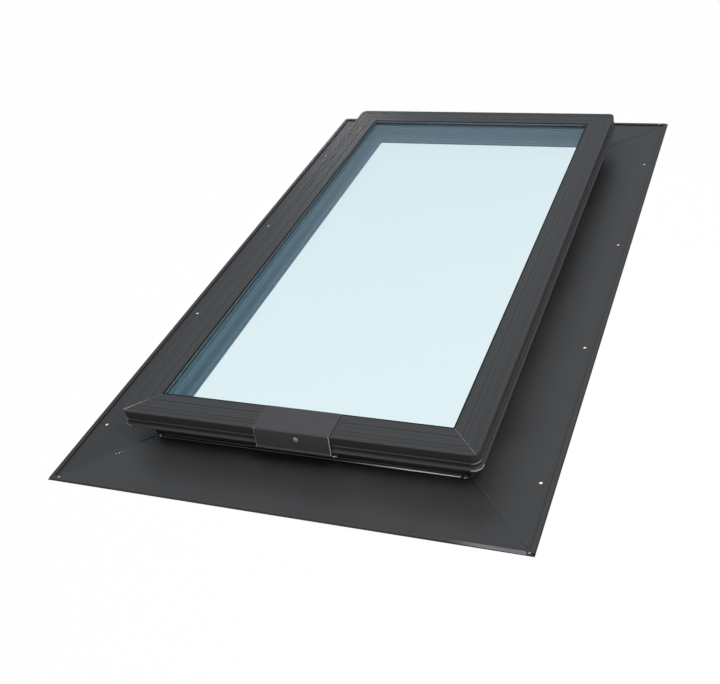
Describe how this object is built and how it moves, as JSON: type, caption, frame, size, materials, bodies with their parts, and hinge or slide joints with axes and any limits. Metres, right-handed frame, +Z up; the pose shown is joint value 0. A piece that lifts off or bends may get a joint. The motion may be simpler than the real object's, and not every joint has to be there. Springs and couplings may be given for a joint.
{
  "type": "roof skylight",
  "caption": "Fixed self-flashed roof skylight: sheet metal pan with raised curb, double glazing and a one-piece dark retaining cap with a splice clip at the sill.",
  "frame": {"origin": "middle of the underside of the pan", "axes": "+Z up through the glass, -Y towards the sill with the splice clip, +X to the right seen from the sill"},
  "size_m": [0.713, 1.142, 0.068],
  "materials": {
    "pan_sheet": "satin charcoal coil coating",
    "weld": "painted weld bead",
    "saddle_frame": "matt grey rigid PVC",
    "key_plastic": "moulded black nylon",
    "fastener": "plain stainless steel",
    "foam": "open-cell foam",
    "gasket": "matt EPDM",
    "glass": "clear coated float glass with a pale blue tint",
    "spacer": "mill finish",
    "sealant": "cured sealant",
    "cap": "satin dark bronze-grey coating",
    "clip": "satin dark coating",
    "cap_fastener": "dark coated steel"
  },
  "bodies": {
    "root": {"sill_flashing": "pan_sheet", "head_flashing": "pan_sheet", "left_flashing": "pan_sheet", "right_flashing": "pan_sheet", "corner_welds": "weld", "sill_frame": "saddle_frame", "head_frame": "saddle_frame", "left_frame": "saddle_frame", "right_frame": "saddle_frame", "corner_keys": "key_plastic", "frame_screws": "fastener", "weep_baffles": "foam", "lower_gasket": "gasket", "setting_blocks": "gasket", "inner_pane": "glass", "spacer_bar": "spacer", "edge_seal": "sealant", "outer_pane": "glass", "upper_gasket": "gasket", "retaining_cap": "cap", "splice_plate": "spacer", "splice_clip": "clip", "clip_screw": "cap_fastener"}
  },
  "joints": []
}
